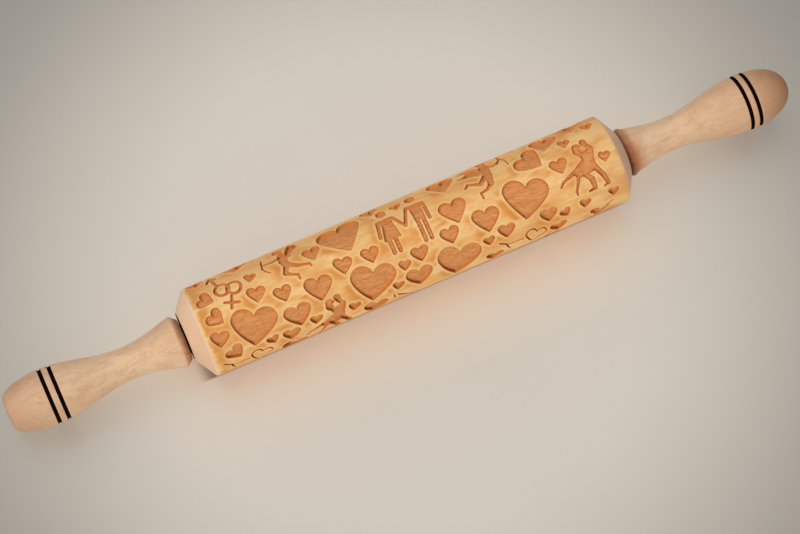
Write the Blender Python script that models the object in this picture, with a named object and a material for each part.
# Embossed rolling pin: an engraved beech barrel between two handles that turn freely.
# The pin lies along X with its lowest line on z = 0, and the barrel's axis is at z = BARREL_DIAMETER / 2.

import math

import bmesh
import bpy
from mathutils import Vector
from mathutils.geometry import delaunay_2d_cdt

# Barrel
BARREL_DIAMETER = 0.050
BARREL_LENGTH = 0.2430
CHAMFER_LENGTH = 0.0067
END_FACE_DIAMETER = 0.0280
BARREL_FLATS = 24
ENGRAVING_DEPTH = 0.0016
PATTERN_MARGIN = 0.0002

# Clearances
FIT_GAP = 0.0003
RUNNING_GAP = 0.0001
MERGE_DISTANCE = 0.0000001

# Spindle, a shoulder screw that holds each handle
SHOULDER_DIAMETER = 0.0080
SPINDLE_REACH = 0.0671
THREAD_DIAMETER = 0.0060
THREAD_LENGTH = 0.0130
HEAD_DIAMETER = 0.0114
HEAD_LENGTH = 0.0050
HEAD_ROUND = 0.0008
SOCKET_WIDTH = 0.0050
SOCKET_DEPTH = 0.0025

# Threaded insert in the barrel's end
INSERT_DIAMETER = 0.0100
INSERT_LENGTH = 0.0140
INSERT_GROOVE_DEPTH = 0.0006
INSERT_GROOVE_WIDTH = 0.0020
BORE_SPARE_DEPTH = 0.0020

# Washers
THRUST_WASHER_DIAMETER = 0.0170
THRUST_WASHER_THICKNESS = 0.0012
HEAD_WASHER_DIAMETER = 0.0120
HEAD_WASHER_THICKNESS = 0.0012
WASHER_BORE_GAP = 0.0002

# Flanged bushings, two in each handle
BUSHING_DIAMETER = 0.0104
BUSHING_LENGTH = 0.0120
FLANGE_THICKNESS = 0.0012
INNER_FLANGE_DIAMETER = 0.0164
OUTER_FLANGE_DIAMETER = 0.0120

# Handles: what both share
HANDLE_PLAY = 0.0015
HANDLE_BORE_GAP = 0.0008
GROOVE_WIDTH = 0.0020
GROOVE_DEPTH = 0.0007
GROOVE_DRAFT = 0.0003
PLUG_DIAMETER = 0.0120
PLUG_LENGTH = 0.0090
PLUG_CHAMFER = 0.0005
TIP_FACE_DIAMETER = 0.0146

# Handles: what the lathe left different on the two
LEFT_HANDLE = {
    "length": 0.1010,
    "inner_face_diameter": 0.0226,
    "collar_diameter": 0.0292,
    "collar_bevel": 0.0037,
    "collar_land": 0.0003,
    "collar_step": 0.0003,
    "flare_diameter": 0.0289,
    "neck_diameter": 0.0182,
    "neck_place": 0.0335,
    "belly_diameter": 0.0315,
    "belly_place": 0.0775,
    "groove_places": (0.0721, 0.0775),
}
RIGHT_HANDLE = {
    "length": 0.0988,
    "inner_face_diameter": 0.0226,
    "collar_diameter": 0.0276,
    "collar_bevel": 0.0014,
    "collar_land": 0.0012,
    "collar_step": 0.0010,
    "flare_diameter": 0.0250,
    "neck_diameter": 0.0183,
    "neck_place": 0.0290,
    "belly_diameter": 0.0315,
    "belly_place": 0.0735,
    "groove_places": (0.0723, 0.0776),
}

# Roundness of the small turned pieces and of the handles
SMALL_SIDES = 20
HANDLE_SIDES = 24
COLLAR_STEPS = 5
NECK_STEPS = 7
DOME_STEPS = 6

# Engraved motifs
LARGE_HEART = 0.0252
MEDIUM_HEART = 0.0156
SMALL_HEART = 0.0102
TINY_HEART = 0.0068
LINE_HEART = 0.0130
SIGN_HEIGHT = 0.0320
SMALL_ARCHER_HEIGHT = 0.0270
LARGE_ARCHER_HEIGHT = 0.0300
DANCERS_HEIGHT = 0.0290
RINGS_HEIGHT = 0.0285
HEART_LINE_SHARE = 0.10

# The right half of a heart that is one wide, from its notch to its point, finer for larger hearts
FINE_HALF_SHARES = (
    (0, 0.235), (0.088, 0.354), (0.25, 0.405), (0.424, 0.331), (0.5, 0.16), (0.428, -0.024), (0.245, -0.241),
    (0, -0.465),
)
PLAIN_HALF_SHARES = ((0, 0.235), (0.25, 0.405), (0.424, 0.331), (0.5, 0.16), (0.265, -0.22), (0, -0.465))
COARSE_HALF_SHARES = ((0, 0.235), (0.25, 0.405), (0.5, 0.16), (0.28, -0.20), (0, -0.465))
HEART_HALVES = {
    LARGE_HEART: FINE_HALF_SHARES,
    MEDIUM_HEART: FINE_HALF_SHARES,
    SMALL_HEART: PLAIN_HALF_SHARES,
    TINY_HEART: COARSE_HALF_SHARES,
    LINE_HEART: FINE_HALF_SHARES,
}

# Each heart: place along the barrel as a share of its half length, degrees round from the top
# towards the near side, width, and degrees that its point swings to the right
HEART_SHARES = (
    (-0.940, -59.5, SMALL_HEART, 6),
    (-0.929, -20, SMALL_HEART, 50),
    (-0.915, 6.5, SMALL_HEART, 33),
    (-0.936, 32.5, SMALL_HEART, -13),
    (-0.888, 58.5, SMALL_HEART, 27),
    (-0.776, 37, LARGE_HEART, -16),
    (-0.752, -62.5, MEDIUM_HEART, -10),
    (-0.720, 65, TINY_HEART, 10),
    (-0.712, -25.5, TINY_HEART, -18),
    (-0.716, 0.5, SMALL_HEART, -11),
    (-0.635, 69.5, SMALL_HEART, -7),
    (-0.608, 12.5, SMALL_HEART, 0),
    (-0.581, 45.5, MEDIUM_HEART, 0),
    (-0.512, 62.5, TINY_HEART, -12),
    (-0.455, 23.5, MEDIUM_HEART, -8),
    (-0.422, -21.5, SMALL_HEART, 0),
    (-0.334, 67.5, TINY_HEART, -16),
    (-0.319, 9.5, SMALL_HEART, -10),
    (-0.272, -29.5, LARGE_HEART, 8),
    (-0.223, 45.5, LARGE_HEART, -15),
    (-0.191, 10.5, SMALL_HEART, -3),
    (-0.121, 64, TINY_HEART, -14),
    (-0.111, -54, SMALL_HEART, 0),
    (-0.067, 39.5, TINY_HEART, -12),
    (-0.018, 63.5, MEDIUM_HEART, -3),
    (0.003, -40, TINY_HEART, 0),
    (0.014, 33, SMALL_HEART, -3),
    (0.168, 26.5, SMALL_HEART, 0),
    (0.171, 65.5, LARGE_HEART, -14),
    (0.224, 0.5, MEDIUM_HEART, 0),
    (0.228, -45, MEDIUM_HEART, 0),
    (0.324, 54.5, TINY_HEART, -2),
    (0.343, 26.5, MEDIUM_HEART, -6),
    (0.412, 50.5, SMALL_HEART, -8),
    (0.542, 21.5, LARGE_HEART, -18),
    (0.626, -23, MEDIUM_HEART, 38),
    (0.613, 53.5, SMALL_HEART, -5),
    (0.648, 81.5, SMALL_HEART, 0),
    (0.691, 60.5, TINY_HEART, 18),
    (0.722, -43, MEDIUM_HEART, -15),
    (0.734, 0.5, SMALL_HEART, 0),
    (0.788, 59, TINY_HEART, -14),
    (0.801, -26, TINY_HEART, -12),
    (0.855, -62.5, MEDIUM_HEART, 3),
    (0.927, 59, TINY_HEART, -6),
    (0.933, -40, TINY_HEART, -4),
    (0.938, 11, TINY_HEART, -12),
    (-0.633, 101.5, MEDIUM_HEART, -12),
    (-0.241, 88, MEDIUM_HEART, -12),
    (0.336, 88, SMALL_HEART, -8),
    (0.617, -75.5, SMALL_HEART, 0),
)

# Line hearts and figures: place share along the half length, degrees round, size, lean
LINE_HEART_SHARES = ((-0.790, 84, LINE_HEART, -22), (0.534, 78, LINE_HEART, -22))
SIGN_SHARES = ((0.0, -15, SIGN_HEIGHT, 0),)
LEFT_ARCHER_SHARES = ((-0.547, -29, SMALL_ARCHER_HEIGHT, 0),)
RIGHT_ARCHER_SHARES = ((0.425, -35, LARGE_ARCHER_HEIGHT, -6),)
DANCERS_SHARES = ((0.855, 12, DANCERS_HEIGHT, 0), (-0.419, 72, DANCERS_HEIGHT, 0))
RINGS_SHARES = ((-0.828, -24, RINGS_HEIGHT, 0),)

# The unseen half carries the same scatter again, turned half round
PATTERN_TURNS = (0, 180)

# Where the spindle's parts sit, measured out from the barrel's end face
RECESS_DEPTH = THRUST_WASHER_THICKNESS + FIT_GAP
INSERT_OUTER = RECESS_DEPTH + FIT_GAP
BORE_DEPTH = INSERT_OUTER + INSERT_LENGTH + BORE_SPARE_DEPTH
BARREL_RADIUS = BARREL_DIAMETER / 2
END_FACE = BARREL_LENGTH / 2 + CHAMFER_LENGTH

# Where the parts in a handle sit, measured out from its inner face
HEAD_STACK = FLANGE_THICKNESS + HEAD_WASHER_THICKNESS + 3 * FIT_GAP
COUNTERBORE_PLACE = SPINDLE_REACH - HANDLE_PLAY - FIT_GAP - HEAD_STACK
COUNTERBORE_DIAMETER = HEAD_WASHER_DIAMETER + 2 * FIT_GAP
BUSHING_SEAT_DIAMETER = BUSHING_DIAMETER + 2 * FIT_GAP
FLANGE_SEAT_DIAMETER = INNER_FLANGE_DIAMETER + 2 * FIT_GAP
HANDLE_BORE_DIAMETER = SHOULDER_DIAMETER + 2 * HANDLE_BORE_GAP

# The left handle rests pulled out to the end of its play and the right one is pushed in
LEFT_GAP = FIT_GAP + HANDLE_PLAY
RIGHT_GAP = FIT_GAP
LEFT_REACH = END_FACE + LEFT_GAP + LEFT_HANDLE["length"]
RIGHT_REACH = END_FACE + RIGHT_GAP + RIGHT_HANDLE["length"]
BARREL_MIDDLE = (LEFT_REACH - RIGHT_REACH) / 2


def clear_scene():
    for item in list(bpy.data.objects):
        bpy.data.objects.remove(item, do_unlink=True)


def material(name, colour, roughness, metallic=0.0):
    made = bpy.data.materials.new(name)
    made.use_nodes = True
    shader = made.node_tree.nodes["Principled BSDF"]
    shader.inputs["Base Color"].default_value = (*colour, 1.0)
    shader.inputs["Roughness"].default_value = roughness
    shader.inputs["Metallic"].default_value = metallic
    return made


def add_object(name, bm, surface, place=0.0, facing=1, parent=None):
    """Store a mesh that is built along +X and set it on the barrel's axis, facing either end."""
    bmesh.ops.recalc_face_normals(bm, faces=bm.faces)
    mesh = bpy.data.meshes.new(name)
    bm.to_mesh(mesh)
    bm.free()
    mesh.materials.append(surface)
    mesh.shade_smooth()
    mesh.set_sharp_from_angle(angle=math.radians(35))
    made = bpy.data.objects.new(name, mesh)
    bpy.context.collection.objects.link(made)
    made.location = (place, 0, 0)
    if facing < 0:
        made.rotation_euler = (0, 0, math.pi)
    made.parent = parent
    return made


def add_empty(name, place, parent=None):
    made = bpy.data.objects.new(name, None)
    made.empty_display_size = BARREL_RADIUS
    bpy.context.collection.objects.link(made)
    made.location = place
    made.parent = parent
    return made


def ring(bm, along, radius, sides):
    """A ring of vertices round X whose flats, not corners, lie at the radius."""
    corner = radius / math.cos(math.pi / sides)
    made = []
    for k in range(sides):
        angle = 2 * math.pi * (k + 0.5) / sides
        made.append(bm.verts.new((along, -corner * math.sin(angle), corner * math.cos(angle))))
    return made


def bridge(bm, first, second):
    count = len(first)
    for k in range(count):
        after = (k + 1) % count
        bm.faces.new((first[k], first[after], second[after], second[k]))


def turned(outline, sides, closed):
    """Turn an outline of (along, radius) points round X. An open outline gets flat ends."""
    bm = bmesh.new()
    rings = [ring(bm, along, radius, sides) for along, radius in outline]
    for first, second in zip(rings, rings[1:]):
        bridge(bm, first, second)
    if closed:
        bridge(bm, rings[-1], rings[0])
    else:
        bm.faces.new(rings[0])
        bm.faces.new(list(reversed(rings[-1])))
    return bm


def heart_curve(half):
    """A heart one wide from its right half: notch, right side, point, left side."""
    return list(half) + [(-across, up) for across, up in reversed(half[1:-1])]


def heart(half):
    return [heart_curve(half)]


def line_heart(half):
    """A heart drawn as a line, in a left and a right half."""
    outer = heart_curve(half)
    inner_share = 1 - 2 * HEART_LINE_SHARE
    inner = [(across * inner_share, up * inner_share) for across, up in outer]
    point = len(half) - 1
    right = outer[:point + 1] + inner[point::-1]
    left = outer[point:] + outer[:1] + inner[:1] + inner[:point - 1:-1]
    return [right, left]


def mirrored(loops):
    return [[(-across, up) for across, up in loop] for loop in loops]


def disc(across, up, radius, points=8):
    turn = 2 * math.pi / points
    return [(across + radius * math.sin(k * turn), up + radius * math.cos(k * turn)) for k in range(points)]


def half_rings(across, up, radius, line, points=5):
    """A ring as two half rings."""
    loops = []
    for start in (0, math.pi):
        angles = [start + math.pi * k / points for k in range(points + 1)]
        outer = [(across + radius * math.sin(a), up + radius * math.cos(a)) for a in angles]
        inside = radius - line
        inner = [(across + inside * math.sin(a), up + inside * math.cos(a)) for a in reversed(angles)]
        loops.append(outer + inner)
    return loops


def limb(first, second, first_width, second_width):
    """A straight limb that narrows from one width to another."""
    reach = Vector(second) - Vector(first)
    side = Vector((-reach.y, reach.x)).normalized()
    corners = (
        Vector(first) + side * first_width / 2,
        Vector(second) + side * second_width / 2,
        Vector(second) - side * second_width / 2,
        Vector(first) - side * first_width / 2,
    )
    return [tuple(corner) for corner in corners]


def limbs(shares):
    return [limb(*row) for row in shares]


def sign_pair():
    """Two plain sign figures holding hands, in shares of the taller one's height."""
    head_shares = ((-0.28, 0.35, 0.088), (0.28, 0.43, 0.09))
    dress_shares = ((-0.39, 0.20), (-0.17, 0.20), (-0.12, -0.25), (-0.45, -0.25))
    coat_shares = ((0.13, 0.26), (0.44, 0.26), (0.40, 0.19), (0.38, -0.16), (0.19, -0.16), (0.17, 0.19))
    limb_shares = (
        ((-0.41, 0.20), (-0.49, -0.17), 0.07, 0.07),
        ((-0.17, 0.18), (0.00, -0.15), 0.07, 0.06),
        ((0.15, 0.25), (0.01, -0.15), 0.07, 0.06),
        ((0.45, 0.24), (0.46, -0.17), 0.07, 0.07),
        ((-0.36, -0.24), (-0.35, -0.50), 0.08, 0.07),
        ((-0.22, -0.24), (-0.23, -0.50), 0.08, 0.07),
        ((0.235, -0.15), (0.235, -0.50), 0.085, 0.07),
        ((0.340, -0.15), (0.340, -0.50), 0.085, 0.07),
    )
    heads = [disc(*share) for share in head_shares]
    return heads + [list(dress_shares), list(coat_shares)] + limbs(limb_shares)


def archer():
    """A winged archer in plain shapes, in shares of its height."""
    wing_shares = ((0.02, 0.20), (0.16, 0.44), (0.38, 0.42), (0.30, 0.26), (0.22, 0.12), (0.04, 0.04))
    limb_shares = (
        ((-0.06, 0.26), (0.02, -0.12), 0.15, 0.14),
        ((-0.05, 0.21), (-0.42, 0.14), 0.07, 0.045),
        ((0.00, 0.18), (-0.20, 0.04), 0.07, 0.045),
        ((0.00, -0.10), (-0.14, -0.28), 0.10, 0.07),
        ((-0.13, -0.26), (0.04, -0.40), 0.07, 0.05),
        ((0.03, -0.10), (0.24, -0.20), 0.10, 0.06),
        ((0.23, -0.18), (0.36, -0.32), 0.06, 0.045),
        ((-0.40, 0.40), (-0.49, 0.24), 0.03, 0.04),
        ((-0.49, 0.25), (-0.49, 0.04), 0.04, 0.04),
        ((-0.49, 0.05), (-0.38, -0.12), 0.04, 0.03),
    )
    return [disc(-0.09, 0.37, 0.10)] + [list(wing_shares)] + limbs(limb_shares)


def dancers():
    """A couple dancing close together in plain shapes, in shares of their height."""
    body_shares = ((-0.16, 0.28), (0.02, 0.24), (0.16, 0.30), (0.14, 0.02), (0.08, -0.14), (-0.20, -0.12))
    limb_shares = (
        ((-0.10, 0.02), (-0.44, -0.10), 0.12, 0.05),
        ((-0.42, -0.08), (-0.58, -0.18), 0.06, 0.05),
        ((-0.15, -0.08), (-0.30, -0.26), 0.08, 0.05),
        ((-0.29, -0.24), (-0.36, -0.46), 0.05, 0.04),
        ((-0.02, -0.10), (0.01, -0.50), 0.11, 0.07),
        ((0.06, -0.08), (0.24, -0.48), 0.11, 0.07),
        ((0.11, 0.24), (-0.06, 0.12), 0.08, 0.06),
    )
    heads = [disc(-0.08, 0.37, 0.10), disc(0.10, 0.42, 0.09)]
    return heads + [list(body_shares)] + limbs(limb_shares)


def linked_rings():
    """Two linked rings, one with an arrow and one with a cross, in shares of their height."""
    line_share = 0.065
    limb_shares = (
        ((-0.130, 0.14), (-0.186, 0.52), 0.065, 0.065),
        ((-0.190, 0.53), (-0.290, 0.33), 0.060, 0.050),
        ((-0.190, 0.53), (-0.085, 0.38), 0.060, 0.050),
        ((0.060, -0.17), (-0.045, -0.44), 0.060, 0.060),
        ((-0.130, -0.28), (0.130, -0.38), 0.060, 0.060),
    )
    rings = half_rings(-0.08, 0.0, 0.165, line_share) + half_rings(0.15, -0.055, 0.165, line_share)
    return rings + limbs(limb_shares)


def counter_clockwise(loop):
    area = 0
    for first, second in zip(loop, loop[1:] + loop[:1]):
        area += first[0] * second[1] - second[0] * first[1]
    return loop if area > 0 else loop[::-1]


def placed(loops, row, turn):
    """Set a unit motif on the unrolled barrel: along it, and round it as an arc length."""
    place_share, degrees, size, lean = row
    tilt = math.radians(lean)
    along = place_share * BARREL_LENGTH / 2
    around = math.radians(degrees + turn) * BARREL_RADIUS
    made = []
    for loop in loops:
        points = []
        for across, up in loop:
            right = across * math.cos(tilt) - up * math.sin(tilt)
            top = across * math.sin(tilt) + up * math.cos(tilt)
            points.append((along + size * right, around - size * top))
        made.append(counter_clockwise(points))
    return made


def motif_loops():
    """Every engraved outline on the unrolled barrel."""
    rows = []
    rows += [(heart(HEART_HALVES[row[2]]), row) for row in HEART_SHARES]
    rows += [(line_heart(HEART_HALVES[row[2]]), row) for row in LINE_HEART_SHARES]
    rows += [(sign_pair(), row) for row in SIGN_SHARES]
    rows += [(archer(), row) for row in LEFT_ARCHER_SHARES]
    rows += [(mirrored(archer()), row) for row in RIGHT_ARCHER_SHARES]
    rows += [(dancers(), row) for row in DANCERS_SHARES]
    rows += [(linked_rings(), row) for row in RINGS_SHARES]
    loops = []
    for turn in PATTERN_TURNS:
        for shape, row in rows:
            loops += placed(shape, row, turn)
    return loops


def wrapped(along, around, depth):
    """Wrap a point of the unrolled barrel onto its flats, at a depth under the surface."""
    step = 2 * math.pi / BARREL_FLATS
    angle = around / BARREL_RADIUS
    off_middle = angle - step * round(angle / step)
    radius = (BARREL_RADIUS - depth) / math.cos(off_middle)
    return (along, -radius * math.sin(angle), radius * math.cos(angle))


def engraved_skin(bm):
    """Cut the unrolled skin along every motif and flat edge, wrap it and sink the motifs."""
    half_length = BARREL_LENGTH / 2
    flat = 2 * math.pi * BARREL_RADIUS / BARREL_FLATS
    low = -(BARREL_FLATS / 2 + 0.5) * flat
    round_trip = BARREL_FLATS * flat
    rim = half_length - PATTERN_MARGIN

    points = []
    edges = []
    faces = []
    for k in range(BARREL_FLATS + 1):
        level = low + k * flat
        edges.append((len(points), len(points) + 1))
        points += [(-half_length, level), (half_length, level)]
    faces.append([0, 1, len(points) - 1, len(points) - 2])
    for loop in motif_loops():
        for shift in (-round_trip, 0, round_trip):
            levels = [around + shift for along, around in loop]
            if max(levels) < low or min(levels) > low + round_trip:
                continue
            start = len(points)
            points += [(min(max(along, -rim), rim), level) for (along, _), level in zip(loop, levels)]
            faces.append(list(range(start, len(points))))

    vectors = [Vector(point) for point in points]
    plane, _, triangles, _, _, owners = delaunay_2d_cdt(vectors, edges, faces, 1, MERGE_DISTANCE, True)
    sunk = []
    kept = []
    for triangle, owner in zip(triangles, owners):
        if 0 in owner:
            kept.append(triangle)
            sunk.append(len(owner) > 1)

    made = {}

    def corner(index, is_sunk):
        if (index, is_sunk) not in made:
            depth = ENGRAVING_DEPTH if is_sunk else 0
            made[index, is_sunk] = bm.verts.new(wrapped(plane[index].x, plane[index].y, depth))
        return made[index, is_sunk]

    sides = {}
    for triangle, is_sunk in zip(kept, sunk):
        bm.faces.new([corner(index, is_sunk) for index in triangle])
        for first, second in zip(triangle, triangle[1:] + triangle[:1]):
            sides.setdefault(frozenset((first, second)), set()).add(is_sunk)
    for side, levels in sides.items():
        if len(levels) == 2:
            first, second = side
            bm.faces.new((corner(first, False), corner(second, False), corner(second, True), corner(first, True)))


def barrel_end(bm, end):
    """Chamfer, end face, washer recess and blind bore at one end of the barrel."""
    outline = (
        (BARREL_LENGTH / 2, BARREL_RADIUS),
        (END_FACE, END_FACE_DIAMETER / 2),
        (END_FACE, THRUST_WASHER_DIAMETER / 2 + FIT_GAP),
        (END_FACE - RECESS_DEPTH, THRUST_WASHER_DIAMETER / 2 + FIT_GAP),
        (END_FACE - RECESS_DEPTH, INSERT_DIAMETER / 2 + FIT_GAP),
        (END_FACE - BORE_DEPTH, INSERT_DIAMETER / 2 + FIT_GAP),
    )
    rings = [ring(bm, end * along, radius, BARREL_FLATS) for along, radius in outline]
    for first, second in zip(rings, rings[1:]):
        bridge(bm, first, second)
    bm.faces.new(rings[-1])


def barrel(wood, parent):
    bm = bmesh.new()
    engraved_skin(bm)
    for end in (-1, 1):
        barrel_end(bm, end)
    bmesh.ops.remove_doubles(bm, verts=bm.verts, dist=10 * MERGE_DISTANCE)
    return add_object("barrel", bm, wood, parent=parent)


def threaded_insert(name, brass, facing, parent):
    """A brass insert with two gripping grooves, seated in the blind bore."""
    outside = INSERT_DIAMETER / 2
    groove = outside - INSERT_GROOVE_DEPTH
    inside = THREAD_DIAMETER / 2 + FIT_GAP
    outline = [(0, inside), (0, outside)]
    for k in (1, 2):
        middle = -INSERT_LENGTH * k / 3
        outline += [
            (middle + INSERT_GROOVE_WIDTH / 2, outside),
            (middle + INSERT_GROOVE_WIDTH / 2, groove),
            (middle - INSERT_GROOVE_WIDTH / 2, groove),
            (middle - INSERT_GROOVE_WIDTH / 2, outside),
        ]
    outline += [(-INSERT_LENGTH, outside), (-INSERT_LENGTH, inside)]
    place = END_FACE - INSERT_OUTER
    return add_object(name, turned(outline, SMALL_SIDES, True), brass, facing * place, facing, parent)


def spindle(name, steel, facing, parent):
    """A shoulder screw: thread, shoulder that the handle turns on, and a socket head."""
    start = -RECESS_DEPTH
    head = SPINDLE_REACH
    outline = (
        (start - THREAD_LENGTH, THREAD_DIAMETER / 2),
        (start, THREAD_DIAMETER / 2),
        (start, SHOULDER_DIAMETER / 2),
        (head, SHOULDER_DIAMETER / 2),
        (head, HEAD_DIAMETER / 2),
        (head + HEAD_LENGTH - HEAD_ROUND, HEAD_DIAMETER / 2),
        (head + HEAD_LENGTH, HEAD_DIAMETER / 2 - HEAD_ROUND),
    )
    made = add_object(name, turned(outline, SMALL_SIDES, False), steel, facing * END_FACE, facing, parent)
    bottom = head + HEAD_LENGTH - SOCKET_DEPTH
    top = head + HEAD_LENGTH + SOCKET_DEPTH
    cutter_outline = ((bottom, SOCKET_WIDTH / 2), (top, SOCKET_WIDTH / 2))
    socket = turned(cutter_outline, 6, False)
    cutter = add_object(name + "_socket_cutter", socket, steel, facing * END_FACE, facing, parent)
    cutter.hide_render = True
    cutter.display_type = "WIRE"
    cut = made.modifiers.new("socket", "BOOLEAN")
    cut.operation = "DIFFERENCE"
    cut.solver = "EXACT"
    cut.object = cutter
    return made


def washer(name, surface, diameter, thickness, place, facing, parent):
    inside = SHOULDER_DIAMETER / 2 + WASHER_BORE_GAP
    outline = ((0, inside), (0, diameter / 2), (thickness, diameter / 2), (thickness, inside))
    return add_object(name, turned(outline, SMALL_SIDES, True), surface, facing * place, facing, parent)


def bushing(name, nylon, flange_diameter, flange_place, runs, handle_face, facing, parent):
    """A flanged sleeve. runs is 1 when the sleeve points away from the barrel and -1 when towards it."""
    inside = SHOULDER_DIAMETER / 2 + RUNNING_GAP
    outline = (
        (0, inside),
        (0, flange_diameter / 2),
        (runs * FLANGE_THICKNESS, flange_diameter / 2),
        (runs * FLANGE_THICKNESS, BUSHING_DIAMETER / 2),
        (runs * BUSHING_LENGTH, BUSHING_DIAMETER / 2),
        (runs * BUSHING_LENGTH, inside),
    )
    place = handle_face + facing * flange_place
    return add_object(name, turned(outline, SMALL_SIDES, True), nylon, place, facing, parent)


def flare_place(sizes):
    """Where the collar ends and the concave flare begins."""
    return sizes["collar_bevel"] + sizes["collar_land"] + sizes["collar_step"]


def handle_radius(along, sizes):
    """The radius past the collar: a concave flare to the neck, a swelling belly and a round dome."""
    flare = sizes["flare_diameter"] / 2
    neck = sizes["neck_diameter"] / 2
    belly = sizes["belly_diameter"] / 2
    tip = TIP_FACE_DIAMETER / 2
    start = flare_place(sizes)
    narrowest = sizes["neck_place"]
    widest = sizes["belly_place"]
    if along < narrowest:
        t = (along - start) / (narrowest - start)
        return neck + (flare - neck) * (1 - math.sin(t * math.pi / 2))
    if along < widest:
        t = (along - narrowest) / (widest - narrowest)
        return neck + (belly - neck) * (1 - math.cos(t * math.pi)) / 2
    t = (along - widest) / (sizes["length"] - widest)
    return tip + (belly - tip) * math.sqrt(max(0, 1 - t * t))


def groove_outline(middle, sizes):
    """One turned groove round the belly."""
    edge = GROOVE_WIDTH / 2
    floor = handle_radius(middle, sizes) - GROOVE_DEPTH
    return [
        (middle - edge, handle_radius(middle - edge, sizes)),
        (middle - edge + GROOVE_DRAFT, floor),
        (middle + edge - GROOVE_DRAFT, floor),
        (middle + edge, handle_radius(middle + edge, sizes)),
    ]


def handle_outside(sizes):
    bevel = sizes["collar_bevel"]
    collar = sizes["collar_diameter"] / 2
    start = flare_place(sizes)
    narrowest = sizes["neck_place"]
    widest = sizes["belly_place"]
    dome = sizes["length"] - widest
    places = [start + (narrowest - start) * k / COLLAR_STEPS for k in range(COLLAR_STEPS)]
    places += [narrowest + (widest - narrowest) * k / NECK_STEPS for k in range(NECK_STEPS)]
    places += [widest + dome * math.sin(k / DOME_STEPS * math.pi / 2) for k in range(DOME_STEPS + 1)]
    grooves = sizes["groove_places"]
    places = [place for place in places if min(abs(place - groove) for groove in grooves) > GROOVE_WIDTH]
    outline = [(bevel, collar), (bevel + sizes["collar_land"], collar)]
    outline += [(place, handle_radius(place, sizes)) for place in places]
    for groove in grooves:
        outline += groove_outline(groove, sizes)
    return sorted(outline)


def handle(name, wood, sizes, handle_face, facing, parent):
    """A turned handle with bushing seats at both ends of its bore and a counterbore for the head."""
    seat = BUSHING_SEAT_DIAMETER / 2
    seat_depth = BUSHING_LENGTH + FIT_GAP
    bore = HANDLE_BORE_DIAMETER / 2
    flange_seat = FLANGE_SEAT_DIAMETER / 2
    outline = [(0, flange_seat), (0, sizes["inner_face_diameter"] / 2)]
    outline += handle_outside(sizes)
    outline += [
        (sizes["length"], COUNTERBORE_DIAMETER / 2),
        (COUNTERBORE_PLACE, COUNTERBORE_DIAMETER / 2),
        (COUNTERBORE_PLACE, seat),
        (COUNTERBORE_PLACE - seat_depth + FLANGE_THICKNESS, seat),
        (COUNTERBORE_PLACE - seat_depth + FLANGE_THICKNESS, bore),
        (seat_depth, bore),
        (seat_depth, seat),
        (FLANGE_THICKNESS + FIT_GAP, seat),
        (FLANGE_THICKNESS + FIT_GAP, flange_seat),
    ]
    return add_object(name, turned(outline, HANDLE_SIDES, True), wood, handle_face, facing, parent)


def plug(name, wood, sizes, handle_face, facing, parent):
    """The wooden button that closes the counterbore, flush with the handle's tip."""
    length = sizes["length"]
    outline = (
        (length - PLUG_LENGTH, PLUG_DIAMETER / 2 - PLUG_CHAMFER),
        (length - PLUG_LENGTH + PLUG_CHAMFER, PLUG_DIAMETER / 2),
        (length, PLUG_DIAMETER / 2),
    )
    return add_object(name, turned(outline, SMALL_SIDES, False), wood, handle_face, facing, parent)


def end_assembly(side, facing, sizes, gap, surfaces, root):
    """Everything at one end of the barrel."""
    threaded_insert(side + "_insert", surfaces["brass"], facing, root)
    spindle(side + "_spindle", surfaces["steel"], facing, root)
    head_washer_place = END_FACE + SPINDLE_REACH - FIT_GAP - HEAD_WASHER_THICKNESS
    washer(side + "_head_washer", surfaces["steel"], HEAD_WASHER_DIAMETER, HEAD_WASHER_THICKNESS,
           head_washer_place, facing, root)

    float_frame = add_empty(side + "_float", (0, 0, 0), root)
    pushed_in = END_FACE - RECESS_DEPTH + FIT_GAP
    washer(side + "_thrust_washer", surfaces["nylon"], THRUST_WASHER_DIAMETER, THRUST_WASHER_THICKNESS,
           pushed_in + gap - FIT_GAP, facing, float_frame)

    grip_frame = add_empty(side + "_grip", (0, 0, 0), float_frame)
    face = facing * (END_FACE + gap)
    handle(side + "_handle", surfaces["handle_wood"], sizes, face, facing, grip_frame)
    bushing(side + "_inner_bushing", surfaces["nylon"], INNER_FLANGE_DIAMETER, 0, 1, face, facing, grip_frame)
    outer_place = COUNTERBORE_PLACE + FIT_GAP + FLANGE_THICKNESS
    bushing(side + "_outer_bushing", surfaces["nylon"], OUTER_FLANGE_DIAMETER, outer_place, -1, face, facing,
            grip_frame)
    plug(side + "_plug", surfaces["plug_wood"], sizes, face, facing, grip_frame)


def build():
    clear_scene()
    surfaces = {
        "barrel_wood": material("barrel_wood", (0.80, 0.48, 0.19), 0.55),
        "handle_wood": material("handle_wood", (0.70, 0.46, 0.27), 0.5),
        "plug_wood": material("plug_wood", (0.62, 0.39, 0.22), 0.55),
        "steel": material("steel", (0.55, 0.56, 0.57), 0.3, 1.0),
        "brass": material("brass", (0.72, 0.53, 0.24), 0.35, 1.0),
        "nylon": material("nylon", (0.20, 0.19, 0.18), 0.5),
    }
    root = add_empty("pin_axis", (BARREL_MIDDLE, 0, BARREL_RADIUS))
    barrel(surfaces["barrel_wood"], root)
    end_assembly("left", -1, LEFT_HANDLE, LEFT_GAP, surfaces, root)
    end_assembly("right", 1, RIGHT_HANDLE, RIGHT_GAP, surfaces, root)


build()
